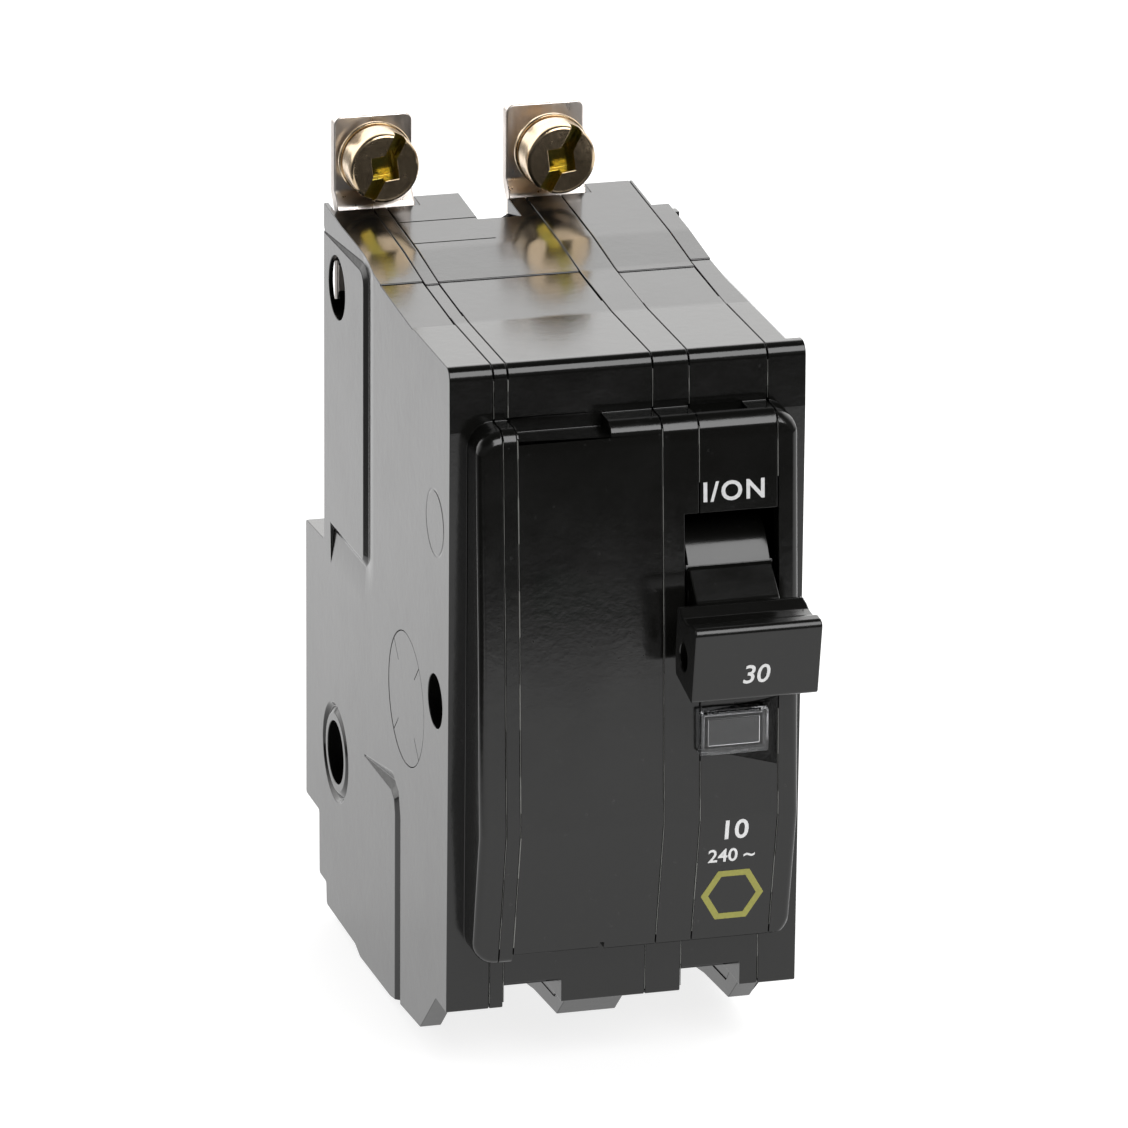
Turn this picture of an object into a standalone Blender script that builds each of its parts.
"""Two-pole bolt-on moulded-case circuit breaker with a single handle, in metres.

Sizes are written in millimetres in a drafting frame: X from the left side of the case,
Y back from the front shoulder, Z up from the front bottom edge. ORIGIN moves them into the
object's frame: centred across the width, on the flat of the back block.
"""

import math

import bmesh
import bpy
from mathutils import Matrix, Vector

MM = 0.001
ORIGIN = Vector((19.05, 60.0, 19.0))

# Driving dimensions
POLE = 19.05  # pole pitch, three quarters of an inch
WIDTH = 2 * POLE
WALL = 1.7
GAP = 0.15  # half of the space left at each case seam
SEAMS = (4.65, 6.18, 21.6, 25.5, 33.95)  # where the case is split across its width
PLATEAU = (1.9, 36.2)  # sides of the raised front
OPENING = (23.9, 33.95, 37.3, 54.7)  # handle opening: left, right, bottom, top
HUB = (2.0, 46.0)  # handle axis in Y and Z
HUB_RADIUS = 7.0
ARM_PIVOT = (13.0, 42.0)
ARM_OPEN = 18.0  # degrees below the closed position
TRIP_AXIS = (30.0, 37.0)
FLAG_AXIS = (-1.0, 22.5)
FLAG_LEAN = 50.0  # degrees the flag leans back while the breaker isn't tripped
NOTCH_FLOOR = 69.4  # floor of the notch beside each line block
SCREW_HEIGHT = 78.5  # line screw axis above the front bottom edge
TERMINAL = (16.0, 6.5)  # centre of the load lug in Y and Z
TERMINAL_TILT = 25.0  # degrees the load screw points below level

FEET = (2.3, 15.0, 21.4, 34.0, 36.4)  # feet along the bottom: 0 to 2.3, 15 to 21.4 and 34 to 36.4
FOOT_SPAN = (3.0, 30.0)  # how far back the bottom is open between the feet
PLUG = (16.8, 29.1, 7.3)  # round plug in the left wall: Y, Z and radius
# Rivets: Y, Z, radius of the hole in the outer wall, and where the rivet ends in X
RIVETS = ((46.2, 65.5, 3.5, WIDTH), (46.9, 12.4, 3.5, WIDTH), (4.9, 33.0, 2.9, 6.6))

SIDE_OUTLINE = (
    (0.0, 0.0),
    (4.3, 0.0),
    (10.7, -5.7),
    (19.9, -6.4),
    (23.4, -7.0),
    (36.2, -7.4),
    (38.4, -6.7),
    (50.9, -6.7),
    (51.1, -4.2),
    (54.1, -4.2),
    (54.2, 3.1),
    (60.0, 3.1),
    (60.0, 34.9),
    (51.9, 35.3),
    (51.9, 73.4),
    (27.3, 71.2),
    (27.2, 71.0),
    (15.2, 70.7),
    (15.1, 70.9),
    (0.9, 70.8),
    (0.0, 70.4),
    (-0.4, 69.5),
    (-0.6, 64.0),
    (-0.5, 40.0),
)
CAVITY_OUTLINE = (
    (1.7, 4.6),
    (6.0, 2.2),
    (11.6, -4.0),
    (36.0, -5.4),
    (49.2, -5.0),
    (49.4, -2.5),
    (52.4, -2.5),
    (52.5, 4.8),
    (58.3, 4.8),
    (58.3, 33.2),
    (50.2, 33.6),
    (50.2, 71.6),
    (43.2, 71.4),
    (38.3, 69.8),
    (27.5, 69.3),
    (1.7, 68.9),
)
FOOT_WALL = (
    (3.2, 0.9),
    (4.3, 0.0),
    (10.7, -5.7),
    (19.9, -6.4),
    (23.4, -7.0),
    (30.6, -7.2),
    (30.6, 0.9),
)
PLATEAU_OUTLINE = (
    (1.0, 6.4),
    (-3.3, 6.5),
    (-3.8, 7.2),
    (-6.6, 21.6),
    (-6.3, 27.0),
    (-5.6, 44.0),
    (-4.5, 62.6),
    (-3.4, 64.4),
    (1.0, 64.9),
)
PLATEAU_CAVITY = (
    (2.5, 8.6),
    (-2.2, 8.8),
    (-4.8, 21.5),
    (-3.8, 44.0),
    (-2.8, 62.4),
    (2.5, 62.8),
)

COLORS = {
    "case": ((0.03, 0.03, 0.028, 1), 0.0, 0.35),
    "handle": ((0.025, 0.025, 0.025, 1), 0.0, 0.3),
    "clear": ((0.75, 0.76, 0.78, 1), 0.0, 0.1),
    "tin": ((0.62, 0.58, 0.55, 1), 1.0, 0.35),
    "brass": ((0.55, 0.4, 0.2, 1), 1.0, 0.3),
    "steel": ((0.5, 0.5, 0.5, 1), 1.0, 0.35),
    "copper": ((0.7, 0.35, 0.22, 1), 1.0, 0.35),
    "silver": ((0.75, 0.74, 0.7, 1), 1.0, 0.3),
    "red": ((0.6, 0.03, 0.02, 1), 0.0, 0.4),
}


def clear_scene():
    for obj in list(bpy.data.objects):
        bpy.data.objects.remove(obj, do_unlink=True)


def new_collection(name, hidden=False):
    made = bpy.data.collections.new(name)
    bpy.context.scene.collection.children.link(made)
    made.hide_render = hidden
    return made


clear_scene()
PARTS = new_collection("two_pole_breaker")
CUTTERS = new_collection("cutters", hidden=True)
MATERIALS = {}


def material(name):
    if name not in MATERIALS:
        color, metallic, roughness = COLORS[name]
        made = bpy.data.materials.new(name)
        made.use_nodes = True
        shader = made.node_tree.nodes["Principled BSDF"]
        shader.inputs["Base Color"].default_value = color
        shader.inputs["Metallic"].default_value = metallic
        shader.inputs["Roughness"].default_value = roughness
        made.diffuse_color = color
        MATERIALS[name] = made
    return MATERIALS[name]


def in_frame(x, y, z):
    return (Vector((x, y, z)) - ORIGIN) * MM


def make(name, mesh, pivot, kind=None):
    """An object from a bmesh drawn in drafting millimetres, with its origin at the pivot."""
    origin = in_frame(*pivot)
    for vertex in mesh.verts:
        vertex.co = in_frame(*vertex.co) - origin
    bmesh.ops.recalc_face_normals(mesh, faces=mesh.faces)
    data = bpy.data.meshes.new(name)
    mesh.to_mesh(data)
    mesh.free()
    obj = bpy.data.objects.new(name, data)
    obj.location = origin
    if kind:
        PARTS.objects.link(obj)
        data.materials.append(material(kind))
    else:
        CUTTERS.objects.link(obj)
        obj.hide_render = True
        obj.display_type = "WIRE"
    return obj


def prism_x(outline, x0, x1):
    """A flat outline in Y and Z, drawn at x0 and extruded along X."""
    mesh = bmesh.new()
    face = mesh.faces.new([mesh.verts.new((x0, y, z)) for y, z in outline])
    grown = bmesh.ops.extrude_face_region(mesh, geom=[face])
    far = [item for item in grown["geom"] if isinstance(item, bmesh.types.BMVert)]
    bmesh.ops.translate(mesh, verts=far, vec=(x1 - x0, 0, 0))
    return mesh


def prism_y(outline, y0, y1):
    """A flat outline in X and Z, extruded along Y."""
    mesh = bmesh.new()
    face = mesh.faces.new([mesh.verts.new((x, y0, z)) for x, z in outline])
    grown = bmesh.ops.extrude_face_region(mesh, geom=[face])
    far = [item for item in grown["geom"] if isinstance(item, bmesh.types.BMVert)]
    bmesh.ops.translate(mesh, verts=far, vec=(0, y1 - y0, 0))
    return mesh


def box(x0, x1, y0, y1, z0, z1):
    mesh = bmesh.new()
    middle = Matrix.Translation(((x0 + x1) / 2, (y0 + y1) / 2, (z0 + z1) / 2))
    bmesh.ops.create_cube(mesh, size=1.0, matrix=middle @ Matrix.Diagonal((x1 - x0, y1 - y0, z1 - z0, 1)))
    return mesh


def bar(middle, turn, radius, length, count):
    """A round bar; turn brings its length from Z to the direction asked for."""
    mesh = bmesh.new()
    bmesh.ops.create_cone(
        mesh,
        cap_ends=True,
        segments=count,
        radius1=radius,
        radius2=radius,
        depth=length,
        matrix=Matrix.Translation(middle) @ turn,
    )
    return mesh


def cylinder_x(center, radius, x0, x1, count=20):
    """Round bar along X; center is Y and Z."""
    turn = Matrix.Rotation(math.pi / 2, 4, "Y")
    return bar(((x0 + x1) / 2, center[0], center[1]), turn, radius, abs(x1 - x0), count)


def cylinder_y(center, radius, y0, y1, count=20):
    """Round bar along Y; center is X and Z."""
    turn = Matrix.Rotation(math.pi / 2, 4, "X")
    return bar((center[0], (y0 + y1) / 2, center[1]), turn, radius, abs(y1 - y0), count)


def cylinder_z(center, radius, z0, z1, count=20):
    """Round bar along Z; center is X and Y."""
    return bar((center[0], center[1], (z0 + z1) / 2), Matrix.Identity(4), radius, abs(z1 - z0), count)


def turned(mesh, center, degrees):
    """Turns a bmesh about an X axis through (Y, Z) = center; positive lifts the back end."""
    about = Vector((0, center[0], center[1]))
    bmesh.ops.rotate(
        mesh,
        cent=about,
        matrix=Matrix.Rotation(math.radians(degrees), 3, "X"),
        verts=mesh.verts,
    )
    return mesh


def tube(points, radius):
    """A round wire through the points: a bevelled curve turned into a closed mesh."""
    curve = bpy.data.curves.new("wire", "CURVE")
    curve.dimensions = "3D"
    curve.bevel_depth = radius
    curve.bevel_resolution = 1
    curve.use_fill_caps = True
    spline = curve.splines.new("POLY")
    spline.points.add(len(points) - 1)
    for knot, point in zip(spline.points, points):
        knot.co = (*point, 1)
    wire = bpy.data.objects.new("wire", curve)
    CUTTERS.objects.link(wire)
    bpy.context.view_layer.update()
    graph = bpy.context.evaluated_depsgraph_get()
    data = bpy.data.meshes.new_from_object(wire.evaluated_get(graph))
    mesh = bmesh.new()
    mesh.from_mesh(data)
    bmesh.ops.remove_doubles(mesh, verts=mesh.verts, dist=1e-4)
    bpy.data.objects.remove(wire, do_unlink=True)
    bpy.data.meshes.remove(data)
    return mesh


def boolean(obj, mesh, operation="DIFFERENCE"):
    count = len(obj.modifiers)
    other = make(f"{obj.name}_{operation.lower()}_{count}", mesh, (19.05, 60, 19))
    step = obj.modifiers.new(f"{operation.lower()}_{count}", "BOOLEAN")
    step.operation = operation
    step.solver = "EXACT"
    step.object = other
    return obj


def cut(obj, *meshes):
    for mesh in meshes:
        boolean(obj, mesh)
    return obj


def join(obj, *meshes):
    for mesh in meshes:
        boolean(obj, mesh, "UNION")
    return obj


def case_slice(name, x0, x1, left_wall=0.0, right_wall=0.0):
    """One layer of the case: the side outline and the raised front, hollowed out."""
    obj = make(name, prism_x(SIDE_OUTLINE, x0, x1), (19.05, 60, 19), "case")
    front0, front1 = max(x0, PLATEAU[0]), min(x1, PLATEAU[1])
    join(obj, prism_x(PLATEAU_OUTLINE, front0, front1))
    inner0 = x0 + left_wall if left_wall else x0 - 1
    inner1 = x1 - right_wall if right_wall else x1 + 1
    front0 = max(inner0, PLATEAU[0] + WALL)
    front1 = min(inner1, PLATEAU[1] - WALL)
    cut(obj, prism_x(CAVITY_OUTLINE, inner0, inner1), prism_x(PLATEAU_CAVITY, front0, front1))
    return obj


# ---------------------------------------------------------------- case
def build_case():
    a, b, c, d, e = SEAMS
    left = case_slice("case_cover_left", 0.0, a - GAP, left_wall=WALL)
    strip = case_slice("case_frame_left", a + GAP, b - GAP)
    body = case_slice("case_body_left", b + GAP, c - GAP, right_wall=WALL)
    center = case_slice("case_frame_center", c + GAP, d - GAP)
    right = case_slice("case_body_right", d + GAP, e - GAP)
    cover = case_slice("case_cover_right", e + GAP, WIDTH, right_wall=WALL)

    # Tab slots in the top and the corners cut back beside the two line blocks.
    for obj, x0, x1 in ((left, -1.0, 5.0), (strip, 4.0, 6.4), (body, 6.0, 9.9)):
        cut(obj, box(max(x0, 0.5), x1, 49.0, 53.0, 58.0, 75.0))
    join(
        body,
        box(13.4, 20.5, 42.2, 51.0, NOTCH_FLOOR - 1.5, NOTCH_FLOOR),
        box(13.4, 14.9, 42.3, 51.0, NOTCH_FLOOR - 1.4, 72.4),
        box(13.5, 20.5, 42.2, 43.6, NOTCH_FLOOR - 1.4, 72.3),
    )
    cut(body, box(14.9, 19.6, 43.6, 53.0, NOTCH_FLOOR, 75.0))
    for obj in (body, center, right):
        cut(obj, box(19.6, 28.95, 49.0, 53.0, 58.0, 75.0))
    join(
        cover,
        box(e + GAP, 37.0, 42.5, 51.0, NOTCH_FLOOR - 1.5, NOTCH_FLOOR),
        box(e + GAP, 37.0, 42.6, 44.0, NOTCH_FLOOR - 1.4, 72.3),
    )
    cut(cover, box(33.0, 39.0, 44.0, 53.0, NOTCH_FLOOR, 75.0))
    join(right, box(32.3, e - GAP, 42.3, 51.0, NOTCH_FLOOR - 1.4, 72.4))

    # Chamfer along the outer top edge of the right cover.
    cut(cover, prism_y(((36.2, 71.0), (36.2, 75.0), (39.5, 75.0), (39.5, 68.0), (38.1, 69.1)), 1.5, 53.0))

    # The bottom is open between its three feet, and notched in front of each load screw.
    foot0, foot1, foot2, foot3, foot4 = FEET
    open_bottom = (
        (left, foot0, 5.0),
        (strip, 4.0, 6.4),
        (body, 6.0, foot1),
        (center, foot2, 26.0),
        (right, 25.0, foot3),
        (cover, foot4, 39.0),
    )
    for obj, x0, x1 in open_bottom:
        cut(obj, box(x0, x1, *FOOT_SPAN, -9.0, 0.0))
    for obj, x0, x1 in ((body, 6.0, 12.5), (center, 25.0, 26.0), (right, 25.0, 32.0)):
        cut(obj, box(x0, x1, -1.0, 6.0, -9.0, 2.65))
    join(body, prism_x(FOOT_WALL, foot1, foot1 + 1.2))
    join(cover, prism_x(FOOT_WALL, foot4 - 1.2, foot4))
    # Ribs above the opening tie the front of three layers to their floors.
    for obj, x0, x1 in ((strip, a + GAP, b - GAP), (center, c + GAP, 23.3), (right, 32.3, e - GAP)):
        join(obj, box(x0, x1, 1.0, 31.0, 0.05, 0.9), box(x0, x1, 29.9, 31.2, -6.3, 0.9))

    # Handle opening and window opening in the raised front.
    x0, x1, z0, z1 = OPENING
    for obj in (center, right):
        cut(obj, box(x0, x1 + 0.05, -9.0, 4.0, z0, z1))
    cut(right, box(25.75, 33.1, -9.0, 4.0, 28.4, 33.0))

    # Shaft holes through the wall between the poles.
    cut(body, cylinder_x(HUB, 3.0, 19.0, 22.0, 16), cylinder_x(TRIP_AXIS, 2.3, 19.0, 22.0, 16))

    # Rivet holes through both outer walls, and the round plug in the left one.
    for y, z, radius, reach in RIVETS:
        cut(left, cylinder_x((y, z), radius, -1.0, 3.0, 20))
        if reach > WIDTH / 2:
            cut(body, cylinder_x((y, z), 0.62 * radius + 0.3, 19.0, 22.0, 12))
            cut(cover, cylinder_x((y, z), radius, WIDTH - 3.0, WIDTH + 1.0, 20))
    cut(left, cylinder_x(PLUG[:2], PLUG[2], -1.0, 3.0, 32))

    make("side_plug", cylinder_x(PLUG[:2], PLUG[2] - 0.2, 0.1, 1.6, 32), (0, 16.8, 29.1), "case")
    window = make("indicator_window", box(25.95, 32.9, -7.6, -4.6, 28.6, 32.8), (29.4, -5, 30.7), "clear")
    join(window, box(25.6, 33.25, -7.6, -6.55, 28.1, 33.3))



def build_rivets():
    """Hollow rivets that hold the layers together, with heads sunk in the outer walls."""
    for number, (y, z, radius, reach) in enumerate(RIVETS, 1):
        outer = 0.62 * radius
        rivet = make(
            f"rivet_{number}",
            cylinder_x((y, z), outer, 0.9, reach - 0.9, 12),
            (reach / 2, y, z),
            "steel",
        )
        join(
            rivet,
            cylinder_x((y, z), radius - 0.3, 0.6, 1.6, 20),
            cylinder_x((y, z), radius - 0.3, reach - 1.6, reach - 0.6, 20),
        )
        cut(rivet, cylinder_x((y, z), 0.55 * outer, -1.0, WIDTH + 1.0, 12))


# ---------------------------------------------------------------- handle
PADDLE = (
    (-16.0, 44.6),
    (-14.8, 37.9),
    (-14.3, 37.5),
    (-8.7, 38.7),
    (-8.3, 40.0),
    (-9.0, 46.2),
    (-9.8, 46.3),
    (-11.6, 45.4),
    (-13.4, 45.5),
    (-14.8, 46.1),
    (-15.7, 45.6),
)
NECK = (
    (-1.5, 50.4),
    (-4.6, 48.6),
    (-7.8, 46.3),
    (-10.0, 45.6),
    (-10.0, 39.6),
    (-4.0, 40.4),
    (0.0, 41.0),
)


def build_handle():
    x0, x1 = OPENING[0] + 0.5, OPENING[1] - 0.6
    pivot = (28.9, HUB[0], HUB[1])
    handle = make("handle", prism_x(PADDLE, 22.1, 35.6), pivot, "handle")
    join(handle, prism_x(NECK, x0, x1), cylinder_x(HUB, HUB_RADIUS, x0 + 0.05, x1 - 0.05, 32))
    cut(handle, cylinder_x((-11.4, 41.6), 1.4, 21.0, 37.0, 14))
    cut(handle, box(x0 - 1, x1 + 1, HUB[0] - 1.9, HUB[0] + 1.9, HUB[1] - 1.9, HUB[1] + 1.9))

    make("handle_shaft", box(7.0, 34.1, HUB[0] - 1.6, HUB[0] + 1.6, HUB[1] - 1.6, HUB[1] + 1.6), pivot, "steel")
    crank = make("handle_crank", cylinder_x(HUB, 5.0, 7.4, 12.6, 24), (10, HUB[0], HUB[1]), "handle")
    join(crank, prism_x(((0.0, 49.5), (6.5, 48.6), (6.5, 45.0), (0.0, 42.5)), 8.6, 11.4))
    cut(crank, box(6.0, 14.0, HUB[0] - 1.9, HUB[0] + 1.9, HUB[1] - 1.9, HUB[1] + 1.9))


# ---------------------------------------------------------------- pole
# The contact arm as it stands when closed
ARM_OUTLINE = (
    (11.0, 43.4),
    (11.4, 41.2),
    (14.2, 40.9),
    (31.8, 55.6),
    (39.0, 55.6),
    (39.0, 57.2),
    (31.0, 57.2),
    (13.2, 43.9),
)
CRADLE_OUTLINE = (
    (9.5, 59.5),
    (11.0, 61.0),
    (14.0, 60.5),
    (24.0, 54.0),
    (31.0, 43.5),
    (31.0, 40.6),
    (28.8, 40.6),
    (22.0, 50.5),
    (13.0, 55.2),
    (10.0, 56.0),
)


def build_line_terminal(side, dx, backed_out):
    """The bolt-on tab that comes out of the top, with its screw and washer."""
    tab = make(
        f"line_tab_{side}",
        prism_x(
            (
                (34.0, 61.4),
                (34.0, 60.0),
                (50.0, 60.0),
                (50.9, 60.9),
                (50.9, 72.6),
                (52.4, 74.1),
                (52.4, 83.0),
                (50.9, 83.0),
                (50.9, 74.7),
                (49.4, 73.2),
                (49.4, 61.4),
            ),
            0.9 + dx,
            9.5 + dx,
        ),
        (5.2 + dx, 51.0, 70.0),
        "tin",
    )
    cut(tab, box(0.0 + dx, 5.6 + dx, 30.0, 49.2, 59.0, 62.0))
    cut(tab, cylinder_y((5.2 + dx, SCREW_HEIGHT), 2.65, 49.0, 54.0, 20))

    head = 50.9 - 1.3 - backed_out
    axis = (5.2 + dx, SCREW_HEIGHT)
    pivot = (axis[0], head, axis[1])
    screw = make(f"line_screw_{side}", cylinder_y(axis, 3.9, head - 3.5, head, 28), pivot, "brass")
    join(screw, cylinder_y(axis, 2.2, head - 1.0, head + 9.0, 16))
    cut(screw, box(axis[0] - 5, axis[0] + 5, head - 4.5, head - 2.0, axis[1] - 0.6, axis[1] + 0.6))
    cut(screw, box(axis[0] - 1.4, axis[0] + 1.4, head - 4.5, head - 1.7, axis[1] - 1.4, axis[1] + 1.4))
    washer = make(
        f"line_washer_{side}",
        cylinder_y(axis, 4.1, head + 0.3, head + 1.0, 24),
        (axis[0], head + 0.65, axis[1]),
        "steel",
    )
    cut(washer, cylinder_y(axis, 2.55, head - 1.0, head + 3.0, 16))
    make(
        f"fixed_contact_{side}",
        cylinder_z((7.8 + dx, 36.5), 1.8, 58.6, 59.8, 20),
        (7.8 + dx, 36.5, 59.0),
        "silver",
    )


def build_contact_arm(side, dx):
    pivot = (7.8 + dx, ARM_PIVOT[0], ARM_PIVOT[1])
    blade = turned(prism_x(ARM_OUTLINE, 6.2 + dx, 9.4 + dx), ARM_PIVOT, -ARM_OPEN)
    arm = make(f"contact_arm_{side}", blade, pivot, "copper")
    join(arm, cylinder_x(ARM_PIVOT, 2.6, 6.25 + dx, 9.35 + dx, 20))
    cut(arm, cylinder_x(ARM_PIVOT, 1.4, 5.0 + dx, 11.0 + dx, 16))
    make(
        f"arm_pin_{side}",
        cylinder_x(ARM_PIVOT, 1.1, 4.9 + dx, 11.2 + dx, 14),
        pivot,
        "steel",
    )
    tip = turned(cylinder_z((7.8 + dx, 36.5), 1.8, 57.3, 58.3, 20), ARM_PIVOT, -ARM_OPEN)
    make(f"moving_contact_{side}", tip, pivot, "silver")


def build_mechanism(side, dx):
    """Cradle, spring, bimetal, magnet and armature of one pole."""
    cradle_pivot = (13.0 + dx, 12.0, 58.0)
    cradle = make(
        f"cradle_{side}",
        prism_x(CRADLE_OUTLINE, 12.3 + dx, 13.7 + dx),
        cradle_pivot,
        "steel",
    )
    cut(cradle, cylinder_x((12.0, 58.0), 1.4, 11.0 + dx, 15.0 + dx, 16))
    make(f"cradle_pin_{side}", cylinder_x((12.0, 58.0), 1.1, 10.9 + dx, 15.0 + dx, 14), cradle_pivot, "steel")

    turns, steps = 7, 10
    coil = []
    for i in range(turns * steps + 1):
        angle = 2 * math.pi * i / steps
        along = i / (turns * steps)
        coil.append((10.9 - 0.15 + dx + 1.1 * math.cos(angle), 17.5 + 7.5 * along, 46.6 + 1.1 * math.sin(angle) + 5.6 * along))
    make(f"toggle_spring_{side}", tube(coil, 0.28), (10.75 + dx, 17.5, 46.6), "steel")

    strip = make(
        f"bimetal_{side}",
        box(7.2 + dx, 13.0 + dx, 42.0, 42.9, 11.0, 37.5),
        (10 + dx, 42.4, 11),
        "steel",
    )
    join(strip, box(7.25 + dx, 12.95 + dx, 42.1, 44.2, 9.8, 11.2))
    yoke = make(
        f"magnet_yoke_{side}",
        box(4.9 + dx, 15.3 + dx, 38.2, 46.9, 19.0, 29.0),
        (10 + dx, 45, 24),
        "steel",
    )
    cut(yoke, box(6.4 + dx, 13.8 + dx, 37.0, 45.3, 18.0, 30.0))
    armature_pivot = (10 + dx, 36.4, 31.5)
    armature = make(
        f"armature_{side}",
        box(5.6 + dx, 14.6 + dx, 35.9, 37.1, 18.5, 32.2),
        armature_pivot,
        "steel",
    )
    join(armature, cylinder_x((36.4, 31.5), 1.1, 4.4 + dx, 15.4 + dx, 14))

    for number, height in enumerate((46.0, 50.0, 54.0), 1):
        plate = make(
            f"arc_plate_{number}_{side}",
            box(3.4 + dx, 12.0 + dx, 42.0, 49.4, height, height + 1.1),
            (7.8 + dx, 46, height),
            "steel",
        )
        cut(plate, box(5.4 + dx, 10.2 + dx, 41.0, 45.2, height - 1, height + 2))


def build_braid(side, dx):
    points = []
    for i in range(13):
        s = i / 12
        y = 15.5 + 25.2 * s
        z = 38.0 - 1.5 * s - 7.0 * math.sin(math.pi * s) * (1 - 0.3 * s)
        points.append((5.0 + 3.6 * s**6 + dx, y, z))
    make(f"braid_{side}", tube(points, 0.9), (5 + dx, 15.5, 38.0), "copper")


def build_load_terminal(side, dx):
    """A box lug on the load strap, tilted so that its screw is reached past the front edge."""
    y, z = TERMINAL
    x = 10.0 + dx
    lug = make(
        f"load_lug_{side}",
        turned(box(x - 4.2, x + 4.2, y - 4.6, y + 5.0, z - 3.6, z + 3.6), TERMINAL, TERMINAL_TILT),
        (x, y, z),
        "tin",
    )
    cut(lug, turned(box(x - 2.9, x + 2.9, y - 2.8, y + 3.6, z - 6.0, z + 6.0), TERMINAL, TERMINAL_TILT))
    cut(lug, turned(cylinder_y((x, z), 2.25, y - 7.0, y - 1.0, 16), TERMINAL, TERMINAL_TILT))
    strap = make(
        f"load_strap_{side}",
        prism_x(((24.0, 9.6), (41.5, 8.3), (46.0, 8.3), (46.0, 9.6), (41.7, 9.6), (24.0, 10.9)), x - 3.2, x + 2.4),
        (x, 40, 8),
        "copper",
    )
    join(strap, prism_x(((22.3, 8.7), (23.4, 8.7), (24.8, 10.6), (24.2, 10.9), (22.3, 10.4)), x - 3.1, x + 2.3))

    bolt = turned(cylinder_y((x, z), 1.9, y - 7.0, y - 0.8, 16), TERMINAL, TERMINAL_TILT)
    screw = make(f"load_screw_{side}", bolt, (x, y, z), "brass")
    head = turned(cylinder_y((x, z), 3.0, y - 9.4, y - 6.6, 24), TERMINAL, TERMINAL_TILT)
    slot = turned(box(x - 4, x + 4, y - 11.0, y - 8.4, z - 0.5, z + 0.5), TERMINAL, TERMINAL_TILT)
    join(screw, head)
    cut(screw, slot)
    pad = turned(box(x - 2.5, x + 2.5, y - 0.5, y + 0.6, z - 3.0, z + 3.0), TERMINAL, TERMINAL_TILT)
    make(f"load_clamp_{side}", pad, (x, y, z), "steel")


def build_shared():
    """Trip bar across both poles and the red flag behind the window."""
    trip = make(
        "trip_bar",
        cylinder_x(TRIP_AXIS, 1.7, 3.6, 36.0, 16),
        (19.05, TRIP_AXIS[0], TRIP_AXIS[1]),
        "handle",
    )
    for dx in (0.0, POLE):
        join(trip, prism_x(((29.2, 37.5), (29.2, 28.0), (31.0, 28.0), (31.0, 37.5)), 7.6 + dx, 10.2 + dx))
    y, z = FLAG_AXIS
    plate = turned(box(26.6, 32.4, y - 0.6, y + 0.6, z, z + 11.0), FLAG_AXIS, -FLAG_LEAN)
    flag = make("trip_flag", plate, (29.5, y, z), "red")
    join(flag, cylinder_x(FLAG_AXIS, 1.3, 25.0, 34.5, 14))


build_case()
build_rivets()
build_handle()
for side, dx, backed_out in (("left", 0.0, 0.4), ("right", POLE, 2.0)):
    build_line_terminal(side, dx, backed_out)
    build_contact_arm(side, dx)
    build_mechanism(side, dx)
    build_braid(side, dx)
    build_load_terminal(side, dx)
build_shared()
